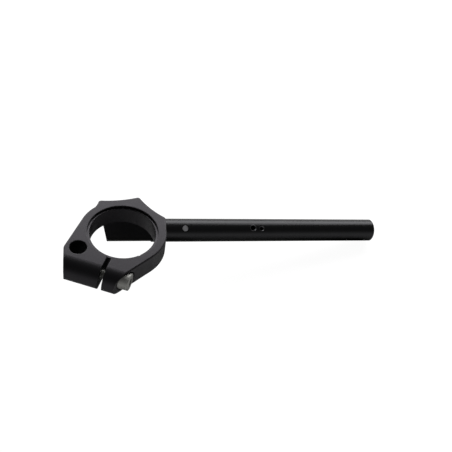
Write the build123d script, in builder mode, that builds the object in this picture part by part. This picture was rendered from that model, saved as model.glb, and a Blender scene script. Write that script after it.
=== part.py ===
# Clip-on handlebar: a split fork clamp with a drop arm, lined with a split bush,
# and one straight bar tube pinned to it.
# Frame: origin on the fork axis at half the clamp's height, +Z up the fork,
# +X the way the bar points when seen from above. Millimetres.
import os
from math import cos, radians, sin, sqrt, tan

from build123d import *

os.makedirs("parts", exist_ok=True)

# Fork clamp ring
fork_bore_d = 56.0
ring_wall = 7.0
clamp_height = 18.5
edge_radius = 1.2
hole_break = 0.4

# Split bush that lines the clamp, sunk below its top
bush_wall = 2.2
bush_sink = 2.0
bush_split_angle = -70.0
bush_split_width = 2.0
bush_clearance = 0.05
bush_break = 0.4

# Pinch lugs, in a frame turned so that its x runs out along the slit
slit_angle = -119.5
slit_width = 4.0
slit_shift = -0.35
lug_reach = 17.4
nose_top_radius = 13.5
thread_side_flare = 3.7
thread_corner_back = 21.1
thread_end_taper = 21.8
head_side_angle = 60.3
thread_corner_radius = 7.0
nose_corner_radius = 3.0
nose_trim = 0.5

# Side hole through the thread lug
side_hole_d = 14.4
side_hole_angle = -42.7
side_hole_inset = 13.2

# Pinch bolt, M8 with a tall socket cap
bolt_d = 8.0
bolt_head_d = 15.0
bolt_head_height = 9.0
bolt_length = 35.0
bolt_socket_af = 6.0
bolt_socket_depth = 4.0
bolt_head_round = 0.8
bolt_tip_break = 0.8
bolt_offset = 14.7
bolt_seat = 13.6
bolt_clearance = 0.4
thread_clearance = 0.05
thread_run_out = 3.0
pocket_clearance = 1.0

# Horns of the arm root: angle round the ring, and rise above it
horn_left = (110.2, 5.0)
horn_back = (61.8, 7.3)
horn_right = (16.3, 3.8)
horn_left_foot = 131.0
horn_right_foot = -6.0
horn_left_hollow = 1.6
horn_back_hollow = 1.7
horn_right_hollow = 1.9
horn_radius = 2.6

# Bar tube
bar_d = 22.0
bar_wall = 3.0
bar_length = 236.0
bar_droop = 8.0
bar_drop = 36.1
fork_gap = 4.3
bar_end_break = 0.8

# Drop arm and spigot that carry the tube
shoulder_x = 35.6
shoulder_step = 0.8
arm_left_top = -12.5
arm_draft = 9.3
arm_corner_radius = 3.0
arm_front_gap = 1.0
arm_back_inset = 3.0
arm_back_rise = 6.0
spigot_length = 45.0
spigot_clearance = 0.05
spigot_break = 1.0
socket_ream = 0.25
socket_end_gap = 2.0

# Dowel pin across tube and spigot
pin_d = 6.0
pin_tip_distance = 14.0
pin_angle = 34.0
pin_recess = 0.05
pin_clearance = 0.05
pin_break = 0.3

# Switch locating holes: distance from the shoulder, angle forward of the top, diameter
switch_holes = ((100.3, 31.0, 4.8), (109.3, 35.0, 3.5))
switch_hole_break = 0.7

# Sizes worked out from the ones above
fork_r = fork_bore_d / 2
clamp_bore_r = fork_r + bush_wall
ring_r = clamp_bore_r + ring_wall
half_height = clamp_height / 2
bar_r = bar_d / 2
nose_x = ring_r + lug_reach
blank_x = nose_x + nose_trim
nose_bottom_radius = clamp_height - nose_top_radius
thread_corner_x = nose_x - thread_corner_back
bolt_x = fork_r + bolt_offset
side_hole_r = fork_r + side_hole_inset
bar_y = fork_r + fork_gap + bar_r
tube_bore_r = bar_r - bar_wall
boss_r = bar_r - shoulder_step
socket_r = tube_bore_r + socket_ream
spigot_r = socket_r - spigot_clearance
pin_r = pin_d / 2
pin_set = spigot_length - pin_tip_distance


def polar(radius, angle):
    return Vector(radius * cos(radians(angle)), radius * sin(radians(angle)))


# Planes: lugs (x along the slit, y towards the bolt head), the bolt, and the bar from its shoulder
lug_plane = Plane(origin=(0, 0, 0), x_dir=polar(1, slit_angle), z_dir=(0, 0, 1))
nose_plane = Plane(origin=(0, 0, 0), x_dir=lug_plane.x_dir, z_dir=-lug_plane.y_dir)
bolt_plane = Plane(
    origin=lug_plane.from_local_coords(Vector(bolt_x, bolt_seat, 0)),
    x_dir=(0, 0, 1),
    z_dir=lug_plane.y_dir,
)
bar_dir = Vector(cos(radians(bar_droop)), 0, -sin(radians(bar_droop)))
bar_origin = Vector(0, bar_y, -bar_drop)
bar_plane = Plane(origin=bar_origin + bar_dir * shoulder_x, x_dir=(0, -1, 0), z_dir=bar_dir)


def across_bar(distance, angle):
    # Plane on the bar axis, its z pointing out of the tube at an angle forward of the top
    up = Vector(sin(radians(bar_droop)), 0, cos(radians(bar_droop)))
    out = up * cos(radians(angle)) + Vector(0, -1, 0) * sin(radians(angle))
    return Plane(origin=bar_plane.origin + bar_dir * distance, x_dir=bar_dir, z_dir=out)


pin_plane = across_bar(pin_set, pin_angle)

# Corners of the arm root, and its feet on the ring
left_horn = polar(ring_r + horn_left[1], horn_left[0])
back_horn = polar(ring_r + horn_back[1], horn_back[0])
right_horn = polar(ring_r + horn_right[1], horn_right[0])
left_foot = polar(ring_r, horn_left_foot)
right_foot = polar(ring_r, horn_right_foot)

# Corners of the lugs in plan, a little long so that the rounded nose trims them
thread_tangent = polar(ring_r, -90 - thread_side_flare)
thread_corner = Vector(
    thread_corner_x,
    thread_tangent.Y - (thread_corner_x - thread_tangent.X) * tan(radians(thread_side_flare)),
)
thread_front = Vector(blank_x, thread_corner.Y + (blank_x - thread_corner_x) * tan(radians(thread_end_taper)))
head_tangent = polar(ring_r, head_side_angle)
head_front = Vector(blank_x, head_tangent.Y - (blank_x - head_tangent.X) / tan(radians(head_side_angle)))

# Drop arm: web and boss behind the fork, trimmed to the arm's front outline
bar_up = Vector(sin(radians(bar_droop)), 0, cos(radians(bar_droop)))
arm_front_top = fork_r + arm_front_gap - bar_y
arm_back_top = left_horn.Y - arm_back_inset - bar_y
arm_right_top = back_horn.X - horn_radius
arm_top = bar_drop * cos(radians(bar_droop))
arm_section_plane = Plane(origin=bar_origin, x_dir=(0, 1, 0), z_dir=bar_dir)
boss_top_right = bar_plane.origin + bar_up * boss_r
boss_foot_right = bar_plane.origin - bar_up * boss_r


def arm_left(z):
    return arm_left_top - (z + half_height) * tan(radians(arm_draft))


# The heel is where the drafted left side runs into the underside of the boss
heel_rise = boss_foot_right.X - arm_left(boss_foot_right.Z)
heel_z = boss_foot_right.Z + heel_rise / (1 / tan(radians(bar_droop)) - tan(radians(arm_draft)))

with BuildPart() as drop_arm:
    with BuildSketch(arm_section_plane):
        Polygon(
            (arm_front_top, arm_top),
            (arm_front_top, arm_top - half_height),
            (-boss_r, 0),
            (boss_r, 0),
            (arm_back_top, arm_top + half_height - arm_back_rise),
            (arm_back_top, arm_top),
            align=None,
        )
        Circle(boss_r)
    extrude(amount=shoulder_x)
    extrude(faces().sort_by(Axis.X)[0], amount=ring_r)
    with BuildSketch(Plane.XZ.offset(-2 * bar_y)):
        with BuildLine():
            Polyline(
                (arm_left(half_height), half_height),
                (arm_left(heel_z), heel_z),
                (boss_foot_right.X, boss_foot_right.Z),
                (boss_top_right.X, boss_top_right.Z),
                (arm_right_top, -half_height),
                (arm_right_top, half_height),
                (arm_left(half_height), half_height),
            )
        make_face()
        fillet(vertices().sort_by_distance((arm_left(heel_z), 2 * bar_y, heel_z))[0], arm_corner_radius)
    extrude(amount=3 * bar_y, mode=Mode.INTERSECT)

# Clamp body, one machined piece: ring, lugs, arm root with three horns, drop arm and spigot
with BuildPart() as clamp_body:
    with BuildSketch(Plane.XY.offset(-half_height)):
        Circle(ring_r)
        with BuildLine():
            SagittaArc(left_foot, left_horn, -horn_left_hollow)
            SagittaArc(left_horn, back_horn, -horn_back_hollow)
            SagittaArc(back_horn, right_horn, -horn_right_hollow)
            Polyline(right_horn, right_foot, (0, 0), left_foot)
        make_face()
        for horn in (left_horn, back_horn, right_horn):
            fillet(vertices().sort_by_distance(horn)[0], horn_radius)
    extrude(amount=clamp_height)
    with BuildSketch(lug_plane.offset(-half_height)):
        with BuildLine():
            Polyline(
                (0, 0),
                thread_tangent,
                thread_corner,
                thread_front,
                head_front,
                head_tangent,
                (0, 0),
            )
        make_face()
        fillet(vertices().sort_by_distance(thread_corner)[0], thread_corner_radius)
        fillet(vertices().sort_by_distance(thread_front)[0], nose_corner_radius)
        fillet(vertices().sort_by_distance(head_front)[0], nose_corner_radius)
    extrude(amount=clamp_height)
    fillet(faces().sort_by(Axis.Z)[-1].edges(), edge_radius)

    # Rounded nose of the lugs
    with BuildSketch(nose_plane):
        with BuildLine():
            Line((-nose_x, -half_height), (nose_x - nose_bottom_radius, -half_height))
            RadiusArc(
                (nose_x - nose_bottom_radius, -half_height),
                (nose_x, -half_height + nose_bottom_radius),
                -nose_bottom_radius,
            )
            RadiusArc(
                (nose_x, half_height - nose_top_radius),
                (nose_x - nose_top_radius, half_height),
                -nose_top_radius,
            )
            Polyline(
                (nose_x - nose_top_radius, half_height),
                (-nose_x, half_height),
                (-nose_x, -half_height),
            )
        make_face()
    extrude(amount=2 * nose_x, both=True, mode=Mode.INTERSECT)
    add(drop_arm.part)

    # Spigot for the tube, drilled for the dowel pin
    with BuildSketch(bar_plane):
        Circle(spigot_r)
    extrude(amount=spigot_length)
    chamfer(edges().filter_by(GeomType.CIRCLE).sort_by(Axis.X)[-1], spigot_break)
    with BuildSketch(pin_plane):
        Circle(pin_r + pin_clearance)
    extrude(amount=bar_d, both=True, mode=Mode.SUBTRACT)

    # Bore for the bush, and the slit
    with BuildSketch(Plane.XY):
        Circle(clamp_bore_r)
    extrude(amount=half_height, both=True, mode=Mode.SUBTRACT)
    with BuildSketch(lug_plane):
        with Locations((nose_x, slit_shift)):
            Rectangle(2 * (nose_x - clamp_bore_r) + slit_width, slit_width)
    extrude(amount=clamp_height, both=True, mode=Mode.SUBTRACT)

    # Pinch bolt: pocket for its head, clearance hole, tapped hole in the far lug
    with BuildSketch(bolt_plane):
        Circle(bolt_head_d / 2 + pocket_clearance)
    extrude(amount=nose_x, mode=Mode.SUBTRACT)
    with BuildSketch(bolt_plane):
        Circle(bolt_d / 2 + bolt_clearance)
    extrude(amount=-bolt_seat, mode=Mode.SUBTRACT)
    with BuildSketch(bolt_plane):
        Circle(bolt_d / 2 + thread_clearance)
    extrude(amount=-bolt_length - thread_run_out, mode=Mode.SUBTRACT)

    # Side hole through the thread lug
    with BuildSketch(lug_plane):
        with Locations(polar(side_hole_r, side_hole_angle)):
            Circle(side_hole_d / 2)
    extrude(amount=clamp_height, both=True, mode=Mode.SUBTRACT)
    chamfer(edges(Select.LAST).filter_by(GeomType.CIRCLE), hole_break)

# Split bush, flush with the clamp's foot, its split turned away from the slit
with BuildPart() as fork_bush:
    with BuildSketch(Plane.XY.offset(-half_height)):
        Circle(clamp_bore_r - bush_clearance)
        Circle(fork_r, mode=Mode.SUBTRACT)
    extrude(amount=clamp_height - bush_sink)
    chamfer(edges().filter_by(GeomType.CIRCLE).sort_by(SortBy.RADIUS)[:2], bush_break)
    with BuildSketch(Plane(origin=(0, 0, 0), x_dir=polar(1, bush_split_angle), z_dir=(0, 0, 1))):
        with Locations((clamp_bore_r, 0)):
            Rectangle(clamp_bore_r, bush_split_width)
    extrude(amount=clamp_height, both=True, mode=Mode.SUBTRACT)

# Bar tube, reamed for the spigot, with its switch holes and the cross hole for the dowel pin
with BuildPart() as bar_tube:
    with BuildSketch(bar_plane):
        Circle(bar_r)
    extrude(amount=bar_length)
    chamfer(edges().filter_by(GeomType.CIRCLE), bar_end_break)
    with BuildSketch(bar_plane):
        Circle(tube_bore_r)
    extrude(amount=bar_length, mode=Mode.SUBTRACT)
    with BuildSketch(bar_plane):
        Circle(socket_r)
    extrude(amount=spigot_length + socket_end_gap, mode=Mode.SUBTRACT)
    with BuildSketch(pin_plane):
        Circle(pin_r + pin_clearance)
    extrude(amount=bar_d, both=True, mode=Mode.SUBTRACT)
    for distance, angle, diameter in switch_holes:
        with BuildSketch(across_bar(distance, angle)):
            Circle(diameter / 2)
        extrude(amount=bar_d, mode=Mode.SUBTRACT)
        with BuildSketch(across_bar(distance, angle).offset(bar_r)):
            Circle(diameter / 2 + switch_hole_break)
        extrude(amount=-switch_hole_break, taper=45, mode=Mode.SUBTRACT)

# Dowel pin, its flat ends just below the tube's surface all round
with BuildPart() as dowel_pin:
    with BuildSketch(pin_plane):
        Circle(pin_r)
    extrude(amount=sqrt(bar_r**2 - pin_r**2) - pin_recess, both=True)
    chamfer(edges().filter_by(GeomType.CIRCLE), pin_break)

# Pinch bolt with its hexagon socket
with BuildPart() as pinch_bolt:
    with BuildSketch(bolt_plane):
        Circle(bolt_d / 2)
    extrude(amount=-bolt_length)
    chamfer(edges().filter_by(GeomType.CIRCLE).sort_by_distance(bolt_plane.origin)[-1], bolt_tip_break)
    with BuildSketch(bolt_plane):
        Circle(bolt_head_d / 2)
    extrude(amount=bolt_head_height)
    head_rims = edges().filter_by(GeomType.CIRCLE).sort_by(Axis(bolt_plane.origin, bolt_plane.z_dir))
    fillet(head_rims[-1], bolt_head_round)
    with BuildSketch(bolt_plane.offset(bolt_head_height)):
        RegularPolygon(bolt_socket_af / 2, 6, major_radius=False)
    extrude(amount=-bolt_socket_depth, mode=Mode.SUBTRACT)

clamp_body.part.label = "clamp_body"
fork_bush.part.label = "fork_bush"
bar_tube.part.label = "bar_tube"
dowel_pin.part.label = "dowel_pin"
pinch_bolt.part.label = "pinch_bolt"
export_step(clamp_body.part, "parts/clamp_body.step")
export_step(fork_bush.part, "parts/fork_bush.step")
export_step(bar_tube.part, "parts/bar_tube.step")
export_step(dowel_pin.part, "parts/dowel_pin.step")
export_step(pinch_bolt.part, "parts/pinch_bolt.step")
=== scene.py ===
import math

import bmesh
import bpy
from mathutils import Matrix, Vector


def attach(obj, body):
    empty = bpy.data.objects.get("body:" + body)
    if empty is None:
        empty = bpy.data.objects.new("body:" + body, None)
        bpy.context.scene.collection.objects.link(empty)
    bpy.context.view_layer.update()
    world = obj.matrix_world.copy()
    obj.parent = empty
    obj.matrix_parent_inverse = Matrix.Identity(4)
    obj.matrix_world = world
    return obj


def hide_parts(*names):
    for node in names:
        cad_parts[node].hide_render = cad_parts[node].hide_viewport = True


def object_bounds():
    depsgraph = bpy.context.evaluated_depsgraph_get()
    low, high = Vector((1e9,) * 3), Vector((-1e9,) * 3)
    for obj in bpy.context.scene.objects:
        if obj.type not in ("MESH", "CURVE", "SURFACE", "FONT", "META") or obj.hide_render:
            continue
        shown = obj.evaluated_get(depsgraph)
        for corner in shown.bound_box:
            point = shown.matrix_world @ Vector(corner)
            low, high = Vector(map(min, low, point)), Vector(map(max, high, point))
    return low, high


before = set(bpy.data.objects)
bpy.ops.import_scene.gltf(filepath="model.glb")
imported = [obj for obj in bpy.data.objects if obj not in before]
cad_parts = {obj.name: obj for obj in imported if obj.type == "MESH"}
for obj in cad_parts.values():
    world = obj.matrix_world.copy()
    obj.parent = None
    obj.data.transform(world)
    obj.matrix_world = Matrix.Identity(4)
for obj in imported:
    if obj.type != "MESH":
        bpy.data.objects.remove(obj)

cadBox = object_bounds()
mm = 0.001
noiseRange = {"From Min": 0.3, "From Max": 0.7}     # where most of a noise texture's values lie
print("frame loaded:", ", ".join(sorted(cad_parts)))


def fromHex(text):
    # sRGB hex to the linear colour that the shaders want
    parts = [int(text[i:i + 2], 16) / 255 for i in (1, 3, 5)]
    return [p / 12.92 if p <= 0.04045 else ((p + 0.055) / 1.055) ** 2.4 for p in parts] + [1.0]


def addNode(tree, kind, values=None, links=None, **settings):
    # one node, its settings, its socket values and what is plugged into it;
    # in a Mix, socket 0 is the share, 2 and 3 are numbers, 6 and 7 are colours
    node = tree.nodes.new(kind)
    for name, value in settings.items():
        setattr(node, name, value)
    for socket, value in (values or {}).items():
        node.inputs[socket].default_value = value
    for socket, source in (links or {}).items():
        tree.links.new(source, node.inputs[socket])
    return node


def newMaterial(name):
    material = bpy.data.materials.new(name)
    material.use_nodes = True
    material.node_tree.nodes.clear()
    return material, material.node_tree


# Camera: where the photograph was taken from, 804 pixels of focal length on a 452 pixel frame
cameraView = {
    "place": (-0.093543, -0.455394, 0.514987),
    "right": (0.960636, -0.245941, 0.129198),
    "up": (0.094483, 0.726564, 0.680571),
    "back": (-0.261252, -0.641574, 0.721201),
    "sensor": 36.0,
    "focalPixels": 803.57,
    "framePixels": 452.0,
    "clipStart": 0.01,
}


def placeCamera(view):
    data = bpy.data.cameras.new("photoCamera")
    data.sensor_width = view["sensor"]
    data.lens = view["focalPixels"] / view["framePixels"] * view["sensor"]
    data.clip_start = view["clipStart"]
    camera = bpy.data.objects.new("photoCamera", data)
    turn = Matrix((view["right"], view["up"], view["back"])).transposed()
    camera.matrix_world = Matrix.Translation(Vector(view["place"])) @ turn.to_4x4()
    bpy.context.scene.collection.objects.link(camera)
    bpy.context.scene.camera = camera


placeCamera(cameraView)
print("camera placed")

# Studio, in metres: a white sweep, one large soft box behind, hardly any light from the front
studio = {
    "floorDrop": 0.0006,
    "floorSize": 6.0,
    "floorColour": "#606060",
    "floorLift": 0.965,             # what the eye sees of the floor before the lamp adds to it; 1 is white
    "shadeReach": 0.25,
    "shadePower": 12.0,
    # painted shade pool on the floor, seen only in a gloss: where it lies and how far it reaches
    "paintedShadePlace": (0.030, -0.005),
    "paintedShadeReach": (0.030, 0.075),    # black up to the first, no longer felt at the second
    "airStrength": 0.03,
    "roomStrength": 0.2,
    "glowFoot": 0.05,
    "glowTop": 0.4,
    "boxPlace": (0.338, 0.953, 0.668),
    "boxAim": (0.10, 0.0, -0.02),
    "boxSize": (2.2, 0.76),
    "boxPower": 36.0,
}


def seenRays(tree, shade=None):
    # 1 for rays that look at the backdrop, straight or in a gloss, 0 for those that gather light;
    # a gloss also shows the shade under the part
    path = addNode(tree, "ShaderNodeLightPath")
    straight = path.outputs["Is Camera Ray"]
    gloss = path.outputs["Is Glossy Ray"]
    through = path.outputs["Is Transmission Ray"]
    if shade:
        gloss = addNode(tree, "ShaderNodeMath", links={0: gloss, 1: shade}, operation="MULTIPLY").outputs[0]
    seen = addNode(tree, "ShaderNodeMath", links={0: straight, 1: gloss}, operation="MAXIMUM")
    return addNode(tree, "ShaderNodeMath", links={0: seen.outputs[0], 1: through}, operation="MAXIMUM")


def buildFloor(look):
    level = cadBox[0].z - look["floorDrop"]
    bpy.ops.object.select_all(action="DESELECT")
    bpy.ops.mesh.primitive_plane_add(size=look["floorSize"], location=(0, 0, level))
    floor = bpy.context.object
    floor.name = "floorSweep"
    bpy.ops.object.transform_apply(location=True, rotation=True, scale=True)
    material, tree = newMaterial("matt white sweep")
    place = addNode(tree, "ShaderNodeTexCoord").outputs["Object"]
    diffuse = addNode(tree, "ShaderNodeBsdfDiffuse", {"Color": fromHex(look["floorColour"])})
    openSky = addNode(tree, "ShaderNodeAmbientOcclusion", {"Distance": look["shadeReach"]}, samples=8)
    shade = addNode(
        tree, "ShaderNodeMath", {1: look["shadePower"]}, {0: openSky.outputs["AO"]}, operation="POWER",
    )
    # a painted shade pool, deepest under the clamp and its arm, seen only in a gloss
    middle = (*look["paintedShadePlace"], level)
    away = addNode(tree, "ShaderNodeVectorMath", {1: middle}, {0: place}, operation="DISTANCE")
    near, far = look["paintedShadeReach"]
    paintedShadePool = addNode(
        tree, "ShaderNodeMapRange", {"From Min": near, "From Max": far}, {"Value": away.outputs["Value"]},
        interpolation_type="SMOOTHSTEP",
    )
    deep = addNode(
        tree, "ShaderNodeMath", links={0: shade.outputs[0], 1: paintedShadePool.outputs[0]}, operation="MULTIPLY",
    )
    seen = seenRays(tree, deep.outputs[0])
    lift = addNode(
        tree, "ShaderNodeMath", {1: look["floorLift"]}, {0: seen.outputs[0]}, operation="MULTIPLY",
    )
    glow = addNode(tree, "ShaderNodeEmission", links={"Strength": lift.outputs[0]})
    both = addNode(tree, "ShaderNodeAddShader", links={0: diffuse.outputs[0], 1: glow.outputs[0]})
    addNode(tree, "ShaderNodeOutputMaterial", links={"Surface": both.outputs[0]})
    floor.data.materials.append(material)


def buildAir(look):
    # for the eye, white along the horizon and a dim room overhead; hardly any light of its own
    world = bpy.data.worlds.new("studio air")
    bpy.context.scene.world = world
    world.use_nodes = True
    tree = world.node_tree
    tree.nodes.clear()
    place = addNode(tree, "ShaderNodeTexCoord").outputs["Generated"]
    height = addNode(tree, "ShaderNodeSeparateXYZ", links={0: place})
    band = addNode(
        tree, "ShaderNodeMapRange",
        {"From Min": look["glowTop"], "From Max": look["glowFoot"], "To Min": look["roomStrength"]},
        {"Value": height.outputs["Z"]},
    )
    strength = addNode(
        tree, "ShaderNodeMix", {2: look["airStrength"]}, {0: seenRays(tree).outputs[0], 3: band.outputs[0]},
    )
    air = addNode(
        tree, "ShaderNodeBackground", {"Color": (1, 1, 1, 1)}, {"Strength": strength.outputs[0]},
    )
    addNode(tree, "ShaderNodeOutputWorld", links={"Surface": air.outputs[0]})


def buildSoftBox(look):
    lamp = bpy.data.lights.new("softBox", "AREA")
    lamp.shape = "RECTANGLE"
    lamp.size, lamp.size_y = look["boxSize"]
    lamp.energy = look["boxPower"]
    softBox = bpy.data.objects.new("softBox", lamp)
    softBox.location = look["boxPlace"]
    aim = Vector(look["boxAim"]) - softBox.location
    softBox.rotation_euler = aim.to_track_quat("-Z", "Y").to_euler()
    softBox.visible_camera = False
    bpy.context.scene.collection.objects.link(softBox)


buildFloor(studio)
buildAir(studio)
buildSoftBox(studio)
bpy.context.scene.view_settings.view_transform = "Standard"
print("studio lit")


# Finishes: sizes and places in mm, angles in degrees
def awayFromLine(tree, place, centre, along):
    # the way here from a centre, and how far that is from the line through the centre
    way = addNode(tree, "ShaderNodeVectorMath", {1: centre}, {0: place}, operation="SUBTRACT")
    side = addNode(tree, "ShaderNodeVectorMath", {1: along}, {0: way.outputs[0]}, operation="CROSS_PRODUCT")
    reach = addNode(tree, "ShaderNodeVectorMath", links={0: side.outputs[0]}, operation="LENGTH")
    return way.outputs[0], reach.outputs["Value"]


# Clamp: machined aluminium, bead blasted and black anodised. The eye sees a dull dark grey,
# a fine even grain, soft edges and slow drifts of tone. The side hole's wall is painted shade, a flat
# black.
clampFinish = {
    "dark": "#232224",
    "light": "#282729",
    "edge": "#302f31",
    "roughness": (0.36, 0.44),
    "grain": 0.5,           # real bead marks are about 0.1 mm, drawn coarser so that they show
    "grainDepth": 0.012,
    "drift": 14.0,
    "edgeRadius": 0.9,
    "edgeTurn": 0.8,        # cosine of the turn at which an edge is rubbed most
    "edgeShare": 0.8,       # of the edge's own colour there
    # painted shade on the side hole's wall: near black and rough
    "drilled": "#0a0a0b",
    "drilledRoughness": 0.85,
    "holePlace": (-39.228, -12.595, 0.0),
    "holeRadius": 7.25,
}


def finishClamp(look):
    material, tree = newMaterial("bead blasted black anodised aluminium")
    place = addNode(tree, "ShaderNodeTexCoord").outputs["Object"]
    drift = addNode(
        tree, "ShaderNodeTexNoise", {"Scale": 1 / (look["drift"] * mm), "Detail": 3.0}, {"Vector": place},
    )
    grain = addNode(
        tree, "ShaderNodeTexNoise", {"Scale": 1 / (look["grain"] * mm), "Detail": 2.0, "Roughness": 0.6},
        {"Vector": place},
    )
    tone = addNode(
        tree, "ShaderNodeMix", {6: fromHex(look["dark"]), 7: fromHex(look["light"])},
        {0: drift.outputs[0]}, data_type="RGBA",
    )
    # edges are rubbed a little lighter: there the softened normal turns away from the face's own
    soft = addNode(tree, "ShaderNodeBevel", {"Radius": look["edgeRadius"] * mm}, samples=6)
    shape = addNode(tree, "ShaderNodeNewGeometry")
    turn = addNode(
        tree, "ShaderNodeVectorMath", links={0: soft.outputs[0], 1: shape.outputs["Normal"]},
        operation="DOT_PRODUCT",
    )
    rub = addNode(
        tree, "ShaderNodeMapRange",
        {"From Min": 1.0, "From Max": look["edgeTurn"], "To Max": look["edgeShare"]},
        {"Value": turn.outputs["Value"]},
    )
    skinTone = addNode(
        tree, "ShaderNodeMix", {7: fromHex(look["edge"])}, {0: rub.outputs[0], 6: tone.outputs[2]},
        data_type="RGBA",
    )
    low, high = look["roughness"]
    rough = addNode(
        tree, "ShaderNodeMapRange", {**noiseRange, "To Min": low, "To Max": high},
        {"Value": grain.outputs[0]},
    )
    bump = addNode(
        tree, "ShaderNodeBump", {"Strength": 1.0, "Distance": look["grainDepth"] * mm},
        {"Height": grain.outputs[0], "Normal": soft.outputs[0]},
    )
    # the side hole runs straight down; painted shade makes its wall near black and rough
    reach = awayFromLine(tree, place, Vector(look["holePlace"]) * mm, (0, 0, 1))[1]
    hole = addNode(
        tree, "ShaderNodeMath", {1: look["holeRadius"] * mm}, {0: reach}, operation="LESS_THAN",
    )
    wholeTone = addNode(
        tree, "ShaderNodeMix", {7: fromHex(look["drilled"])}, {0: hole.outputs[0], 6: skinTone.outputs[2]},
        data_type="RGBA",
    )
    wholeRough = addNode(
        tree, "ShaderNodeMix", {3: look["drilledRoughness"]}, {0: hole.outputs[0], 2: rough.outputs[0]},
    )
    skin = addNode(
        tree, "ShaderNodeBsdfPrincipled", {"Metallic": 1.0},
        {"Base Color": wholeTone.outputs[2], "Roughness": wholeRough.outputs[0], "Normal": bump.outputs[0]},
    )
    addNode(tree, "ShaderNodeOutputMaterial", links={"Surface": skin.outputs[0]})
    return material


# Bush: turned aluminium, black anodised. The eye sees fine rings round the bore and a silkier sheen.
bushFinish = {
    "dark": "#29282a",
    "light": "#2f2e30",
    "roughness": (0.36, 0.46),
    "feed": 0.6,            # between turning marks; really about 0.15 mm, drawn coarser so that they show
    "feedDepth": 0.006,
    "streak": 9.0,
    "edgeRadius": 0.2,
}


def finishBush(look):
    material, tree = newMaterial("turned black anodised aluminium")
    place = addNode(tree, "ShaderNodeTexCoord").outputs["Object"]
    # at a scale of 1 the wave's bands are pi / 10 apart
    rings = addNode(
        tree, "ShaderNodeTexWave",
        {"Scale": math.pi / 10 / (look["feed"] * mm), "Distortion": 0.6, "Detail": 1.0},
        {"Vector": place}, wave_type="BANDS", bands_direction="Z",
    )
    streak = addNode(
        tree, "ShaderNodeTexNoise", {"Scale": 1 / (look["streak"] * mm), "Detail": 4.0}, {"Vector": place},
    )
    tone = addNode(
        tree, "ShaderNodeMix", {6: fromHex(look["dark"]), 7: fromHex(look["light"])},
        {0: streak.outputs[0]}, data_type="RGBA",
    )
    low, high = look["roughness"]
    rough = addNode(
        tree, "ShaderNodeMapRange", {"To Min": low, "To Max": high}, {"Value": rings.outputs["Fac"]},
    )
    soft = addNode(tree, "ShaderNodeBevel", {"Radius": look["edgeRadius"] * mm}, samples=4)
    bump = addNode(
        tree, "ShaderNodeBump", {"Strength": 1.0, "Distance": look["feedDepth"] * mm},
        {"Height": rings.outputs["Fac"], "Normal": soft.outputs[0]},
    )
    skin = addNode(
        tree, "ShaderNodeBsdfPrincipled", {"Metallic": 1.0},
        {"Base Color": tone.outputs[2], "Roughness": rough.outputs[0], "Normal": bump.outputs[0]},
    )
    addNode(tree, "ShaderNodeOutputMaterial", links={"Surface": skin.outputs[0]})
    return material


# Tube: drawn aluminium, polished round and black anodised satin. The eye sees deep black, a clear soft
# highlight along the back, faint lines round the tube, and bare metal where the switch holes were broken.
tubeFinish = {
    "dark": "#242425",
    "light": "#29292a",
    "bare": "#4c4c4e",
    "edgeTint": 0.82,
    "roughness": (0.26, 0.34),
    "lines": 0.7,           # between polishing lines; really about 0.1 mm, drawn coarser so that they show
    "lineLength": 40.0,
    "linesDepth": 0.003,
    "drift": 25.0,
    "edgeRadius": 0.25,
    "droop": 8.0,
    "axisPoint": (0.0, 43.3, -36.1),
    "shoulder": 35.6,
    "holes": ((100.3, 31.0, 4.8), (109.3, 35.0, 3.5)),      # from the shoulder, angle forward, diameter
    "rim": 0.9,
    "skinHeight": 10.45,    # from the axis; the far wall and the bore lie below it
}


def acrossBar(bar, distance, angle):
    # a point on the tube's axis, and the way out of the tube at an angle forward of the top
    droop = math.radians(bar["droop"])
    along = Vector((math.cos(droop), 0, -math.sin(droop)))
    above = Vector((math.sin(droop), 0, math.cos(droop)))
    lean = math.radians(angle)
    out = above * math.cos(lean) + Vector((0, -1, 0)) * math.sin(lean)
    return Vector(bar["axisPoint"]) * mm + along * (bar["shoulder"] + distance) * mm, out


def holeRim(tree, place, look, distance, angle, diameter):
    # 1 on the tube's skin at a hole and its rim, 0 elsewhere
    centre, out = acrossBar(look, distance, angle)
    way, reach = awayFromLine(tree, place, centre, out)
    rise = addNode(tree, "ShaderNodeVectorMath", {1: out}, {0: way}, operation="DOT_PRODUCT")
    upper = addNode(
        tree, "ShaderNodeMath", {1: look["skinHeight"] * mm}, {0: rise.outputs["Value"]},
        operation="GREATER_THAN",
    )
    inside = addNode(
        tree, "ShaderNodeMath", {1: (diameter / 2 + look["rim"]) * mm}, {0: reach}, operation="LESS_THAN",
    )
    rim = addNode(
        tree, "ShaderNodeMath", links={0: upper.outputs[0], 1: inside.outputs[0]}, operation="MULTIPLY",
    )
    return rim.outputs[0]


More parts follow.
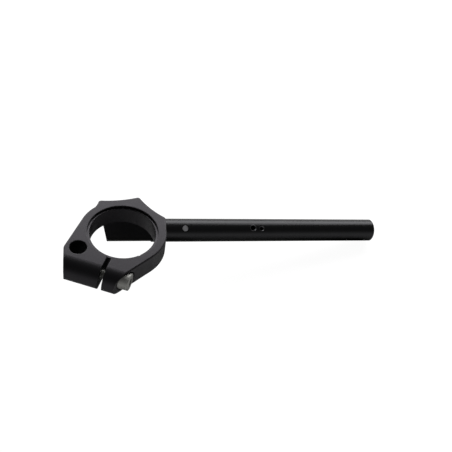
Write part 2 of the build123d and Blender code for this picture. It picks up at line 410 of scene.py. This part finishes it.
def finishTube(look):
    material, tree = newMaterial("satin black anodised aluminium")
    place = addNode(tree, "ShaderNodeTexCoord").outputs["Object"]
    bar = addNode(
        tree, "ShaderNodeMapping", {"Rotation": (0, -math.radians(look["droop"]), 0)}, {"Vector": place},
        vector_type="POINT",
    )
    around = 1 / (look["lineLength"] * mm)
    stretch = addNode(
        tree, "ShaderNodeVectorMath", {1: (1 / (look["lines"] * mm), around, around)}, {0: bar.outputs[0]},
        operation="MULTIPLY",
    )
    lines = addNode(
        tree, "ShaderNodeTexNoise", {"Scale": 1.0, "Detail": 3.0, "Roughness": 0.6},
        {"Vector": stretch.outputs[0]},
    )
    drift = addNode(
        tree, "ShaderNodeTexNoise", {"Scale": 1 / (look["drift"] * mm), "Detail": 2.0}, {"Vector": place},
    )
    tone = addNode(
        tree, "ShaderNodeMix", {6: fromHex(look["dark"]), 7: fromHex(look["light"])},
        {0: drift.outputs[0]}, data_type="RGBA",
    )
    large, small = (holeRim(tree, place, look, *hole) for hole in look["holes"])
    rims = addNode(tree, "ShaderNodeMath", links={0: large, 1: small}, operation="MAXIMUM")
    skinTone = addNode(
        tree, "ShaderNodeMix", {7: fromHex(look["bare"])}, {0: rims.outputs[0], 6: tone.outputs[2]},
        data_type="RGBA",
    )
    low, high = look["roughness"]
    rough = addNode(
        tree, "ShaderNodeMapRange", {**noiseRange, "To Min": low, "To Max": high},
        {"Value": lines.outputs[0]},
    )
    soft = addNode(tree, "ShaderNodeBevel", {"Radius": look["edgeRadius"] * mm}, samples=4)
    bump = addNode(
        tree, "ShaderNodeBump", {"Strength": 1.0, "Distance": look["linesDepth"] * mm},
        {"Height": lines.outputs[0], "Normal": soft.outputs[0]},
    )
    tint = [look["edgeTint"]] * 3 + [1.0]
    skin = addNode(
        tree, "ShaderNodeBsdfPrincipled", {"Metallic": 1.0, "Specular Tint": tint},
        {"Base Color": skinTone.outputs[2], "Roughness": rough.outputs[0], "Normal": bump.outputs[0]},
    )
    addNode(tree, "ShaderNodeOutputMaterial", links={"Surface": skin.outputs[0]})
    return material


# Dowel pin: ground steel, its end faced off. The eye sees a dull bright disc with faint rings.
pinFinish = {
    "dark": "#8a8a8c",
    "light": "#a2a2a4",
    "roughness": 0.5,
    "rings": 0.5,           # between facing marks; really about 0.1 mm, drawn coarser so that they show
    "ringDepth": 0.004,
    "fleck": 0.9,
    "fromShoulder": 31.0,
    "angle": 34.0,
}


def finishPin(look, bar):
    material, tree = newMaterial("ground steel")
    place = addNode(tree, "ShaderNodeTexCoord").outputs["Object"]
    reach = awayFromLine(tree, place, *acrossBar(bar, look["fromShoulder"], look["angle"]))[1]
    wave = addNode(
        tree, "ShaderNodeMath", {1: 2 * math.pi / (look["rings"] * mm)}, {0: reach}, operation="MULTIPLY",
    )
    ring = addNode(tree, "ShaderNodeMath", links={0: wave.outputs[0]}, operation="SINE")
    height = addNode(
        tree, "ShaderNodeMapRange", {"From Min": -1.0, "From Max": 1.0}, {"Value": ring.outputs[0]},
    )
    fleck = addNode(
        tree, "ShaderNodeTexNoise", {"Scale": 1 / (look["fleck"] * mm), "Detail": 3.0}, {"Vector": place},
    )
    tone = addNode(
        tree, "ShaderNodeMix", {6: fromHex(look["dark"]), 7: fromHex(look["light"])},
        {0: fleck.outputs[0]}, data_type="RGBA",
    )
    bump = addNode(
        tree, "ShaderNodeBump", {"Strength": 1.0, "Distance": look["ringDepth"] * mm},
        {"Height": height.outputs[0]},
    )
    skin = addNode(
        tree, "ShaderNodeBsdfPrincipled", {"Metallic": 1.0, "Roughness": look["roughness"]},
        {"Base Color": tone.outputs[2], "Normal": bump.outputs[0]},
    )
    addNode(tree, "ShaderNodeOutputMaterial", links={"Surface": skin.outputs[0]})
    return material


# Pinch bolt: steel, zinc plated and passivated. The eye sees a soft silver grey with cloudy patches.
boltFinish = {
    "dark": "#747472",
    "light": "#92928e",
    "roughness": (0.55, 0.7),
    "cloud": 1.6,
    "cloudDepth": 0.01,
}


def finishBolt(look):
    material, tree = newMaterial("zinc plated steel")
    place = addNode(tree, "ShaderNodeTexCoord").outputs["Object"]
    cloud = addNode(
        tree, "ShaderNodeTexNoise", {"Scale": 1 / (look["cloud"] * mm), "Detail": 4.0, "Roughness": 0.6},
        {"Vector": place},
    )
    tone = addNode(
        tree, "ShaderNodeMix", {6: fromHex(look["dark"]), 7: fromHex(look["light"])},
        {0: cloud.outputs[0]}, data_type="RGBA",
    )
    low, high = look["roughness"]
    rough = addNode(
        tree, "ShaderNodeMapRange", {**noiseRange, "To Min": low, "To Max": high},
        {"Value": cloud.outputs[0]},
    )
    bump = addNode(
        tree, "ShaderNodeBump", {"Strength": 1.0, "Distance": look["cloudDepth"] * mm},
        {"Height": cloud.outputs[0]},
    )
    skin = addNode(
        tree, "ShaderNodeBsdfPrincipled", {"Metallic": 1.0},
        {"Base Color": tone.outputs[2], "Roughness": rough.outputs[0], "Normal": bump.outputs[0]},
    )
    addNode(tree, "ShaderNodeOutputMaterial", links={"Surface": skin.outputs[0]})
    return material


zincPlate = finishBolt(boltFinish)
finishes = {
    "clamp_body": finishClamp(clampFinish),
    "fork_bush": finishBush(bushFinish),
    "bar_tube": finishTube(tubeFinish),
    "dowel_pin": finishPin(pinFinish, tubeFinish),
    "pinch_bolt": zincPlate,
}
for node, material in finishes.items():
    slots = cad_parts[node].data.materials
    slots.clear()
    slots.append(material)
print("finishes on")

# Pinch bolt: tall socket cap with a knurled side, a plain neck and an M8 thread, in mm from the head's seat
boltShape = {
    "slitAngle": -119.5,
    "fromFork": 42.7,
    "seat": 13.6,
    "headRadius": 7.5,
    "headSteps": (              # height and radius
        (0.0, 7.2), (0.3, 7.5), (0.9, 7.5), (1.3, 7.5), (7.0, 7.5),
        (7.4, 7.5), (8.2, 7.5), (8.5, 7.43), (8.78, 7.22), (9.0, 6.8),
    ),
    "knurls": 44,
    "knurlDepth": 0.26,
    "knurlSpan": (1.2, 7.1),
    "socketFlats": 6.0,
    "socketDepth": 4.0,
    "shankRadius": 4.0,
    "neck": 7.0,
    "neckSink": 0.5,            # into the head
    "runOut": 0.6,
    "runOutSink": (0.1, 0.15),  # down into the thread, and in from its root
    "length": 35.0,
    "tipBreak": 0.8,
    "pitch": 1.25,
    "crestRadius": 3.97,
    "rootRadius": 3.3,
    "crestFlat": 0.16,
    "threadSteps": 32,
    "spareTurns": (2, 3),       # below the tip and above the neck's foot, cut off again
    "threadPast": 0.5,          # past the tip, before the tip is broken
    "threadSink": 0.95,         # into the neck
    "weldThread": 0.002,
    "weldBolt": 0.001,
    "smoothAngle": 32.0,
}


def pickPoints(piece, wanted):
    mesh = bmesh.from_edit_mesh(piece.data)
    for point in mesh.verts:
        point.select_set(wanted(point.co))
    mesh.select_flush_mode()
    bmesh.update_edit_mesh(piece.data)


def turnedSolid(name, steps, sides):
    # a closed solid of round sections, given as (height, radius) from the bottom up
    bpy.ops.object.select_all(action="DESELECT")
    height, radius = steps[0]
    bpy.ops.mesh.primitive_circle_add(
        vertices=sides, radius=radius * mm, fill_type="NGON", location=(0, 0, height * mm),
    )
    piece = bpy.context.object
    piece.name = name
    bpy.ops.object.transform_apply(location=True, rotation=True, scale=True)
    bpy.ops.object.mode_set(mode="EDIT")
    bpy.ops.mesh.select_all(action="SELECT")
    for nextHeight, nextRadius in steps[1:]:
        rise = (0, 0, (nextHeight - height) * mm)
        bpy.ops.mesh.extrude_region_move(TRANSFORM_OT_translate={"value": rise})
        share = nextRadius / radius
        bpy.ops.transform.resize(value=(share, share, 1), center_override=(0, 0, nextHeight * mm))
        height, radius = nextHeight, nextRadius
    bpy.ops.mesh.select_all(action="SELECT")
    bpy.ops.mesh.normals_make_consistent(inside=False)
    bpy.ops.object.mode_set(mode="OBJECT")
    return piece


def carve(piece, tool, kind):
    # one boolean, applied, and the tool thrown away
    cut = piece.modifiers.new(kind.lower(), "BOOLEAN")
    cut.operation = kind
    cut.solver = "EXACT"
    cut.object = tool
    bpy.ops.object.select_all(action="DESELECT")
    piece.select_set(True)
    bpy.context.view_layer.objects.active = piece
    bpy.ops.object.modifier_apply(modifier=cut.name)
    bpy.data.objects.remove(tool)


def screwThread(shape):
    # a point drawn out into one pitch of the profile, screwed past both ends, cut square and closed
    bpy.ops.object.select_all(action="DESELECT")
    bpy.ops.mesh.primitive_plane_add(size=mm, location=(0, 0, 0))
    thread = bpy.context.object
    below, above = shape["spareTurns"]
    flat = shape["crestFlat"]
    flank = (shape["pitch"] - 2 * flat) / 2
    depth = shape["shankRadius"] - shape["rootRadius"]
    start = (shape["rootRadius"] * mm, 0, (-shape["length"] - below * shape["pitch"]) * mm)
    bpy.ops.object.mode_set(mode="EDIT")
    bpy.ops.mesh.select_all(action="SELECT")
    bpy.ops.mesh.merge(type="CENTER")
    bpy.ops.transform.translate(value=start)
    for outward, upward in ((depth, flank), (0, flat), (-depth, flank), (0, flat)):
        move = (outward * mm, 0, upward * mm)
        bpy.ops.mesh.extrude_region_move(TRANSFORM_OT_translate={"value": move})
    bpy.ops.object.mode_set(mode="OBJECT")
    winding = thread.modifiers.new("winding", "SCREW")
    winding.screw_offset = shape["pitch"] * mm
    winding.iterations = int((shape["length"] - shape["neck"]) / shape["pitch"]) + below + above
    winding.steps = winding.render_steps = shape["threadSteps"]
    bpy.ops.object.modifier_apply(modifier=winding.name)
    bpy.ops.object.mode_set(mode="EDIT")
    bpy.ops.mesh.select_all(action="SELECT")
    bpy.ops.mesh.remove_doubles(threshold=shape["weldThread"] * mm)
    lowest = (0, 0, (-shape["length"] - shape["threadPast"]) * mm)
    highest = (0, 0, (-shape["neck"] + shape["threadSink"]) * mm)
    bpy.ops.mesh.bisect(plane_co=lowest, plane_no=(0, 0, 1), use_fill=True, clear_inner=True)
    bpy.ops.mesh.select_all(action="SELECT")
    bpy.ops.mesh.bisect(plane_co=highest, plane_no=(0, 0, 1), use_fill=True, clear_outer=True)
    bpy.ops.mesh.select_all(action="SELECT")
    bpy.ops.mesh.normals_make_consistent(inside=False)
    bpy.ops.object.mode_set(mode="OBJECT")
    # its crests are turned down and its tip is broken
    radius = shape["crestRadius"]
    tip = -shape["length"]
    steps = ((tip, radius - shape["tipBreak"]), (tip + shape["tipBreak"], radius), (0.0, radius))
    carve(thread, turnedSolid("boltEnvelope", steps, 2 * shape["threadSteps"]), "INTERSECT")
    return thread


def modelBolt(shape, material):
    bolt = turnedSolid("pinch_bolt_threaded", shape["headSteps"], 2 * shape["knurls"])
    # every other edge of the head's side is drawn in for the knurl
    low, high = (z * mm for z in shape["knurlSpan"])
    step = math.pi / shape["knurls"]
    bpy.ops.object.mode_set(mode="EDIT")
    pickPoints(bolt, lambda p: low < p.z < high and round(math.atan2(p.y, p.x) / step) % 2)
    share = 1 - shape["knurlDepth"] / shape["headRadius"]
    bpy.ops.transform.resize(value=(share, share, 1), center_override=(0, 0, 0))
    bpy.ops.object.mode_set(mode="OBJECT")
    # hexagon socket
    top = shape["headSteps"][-1][0]
    bpy.ops.object.select_all(action="DESELECT")
    bpy.ops.mesh.primitive_cylinder_add(
        vertices=6, radius=shape["socketFlats"] / math.sqrt(3) * mm,
        depth=2 * shape["socketDepth"] * mm, location=(0, 0, top * mm),
    )
    carve(bolt, bpy.context.object, "DIFFERENCE")
    # neck, then thread, sunk into each other so that no two faces coincide
    radius = shape["shankRadius"]
    down, inward = shape["runOutSink"]
    steps = (
        (-shape["neck"] - down, shape["rootRadius"] - inward),
        (-shape["neck"] + shape["runOut"], radius),
        (shape["neckSink"], radius),
    )
    carve(bolt, turnedSolid("boltNeck", steps, 2 * shape["threadSteps"]), "UNION")
    carve(bolt, screwThread(shape), "UNION")
    # into its place across the slit
    along = math.radians(shape["slitAngle"])
    outward = Vector((math.cos(along), math.sin(along), 0))
    sideways = Vector((-math.sin(along), math.cos(along), 0))
    bolt.rotation_euler = sideways.to_track_quat("Z", "Y").to_euler()
    bolt.location = (outward * shape["fromFork"] + sideways * shape["seat"]) * mm
    bpy.ops.object.select_all(action="DESELECT")
    bolt.select_set(True)
    bpy.context.view_layer.objects.active = bolt
    bpy.ops.object.transform_apply(location=True, rotation=True, scale=True)
    bpy.ops.object.mode_set(mode="EDIT")
    bpy.ops.mesh.select_all(action="SELECT")
    bpy.ops.mesh.remove_doubles(threshold=shape["weldBolt"] * mm)
    bpy.ops.mesh.normals_make_consistent(inside=False)
    bpy.ops.object.mode_set(mode="OBJECT")
    bpy.ops.object.shade_smooth_by_angle(angle=math.radians(shape["smoothAngle"]))
    bolt.data.materials.clear()
    bolt.data.materials.append(material)
    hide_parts("pinch_bolt")
    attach(bolt, "root")


modelBolt(boltShape, zincPlate)
print("bolt threaded")
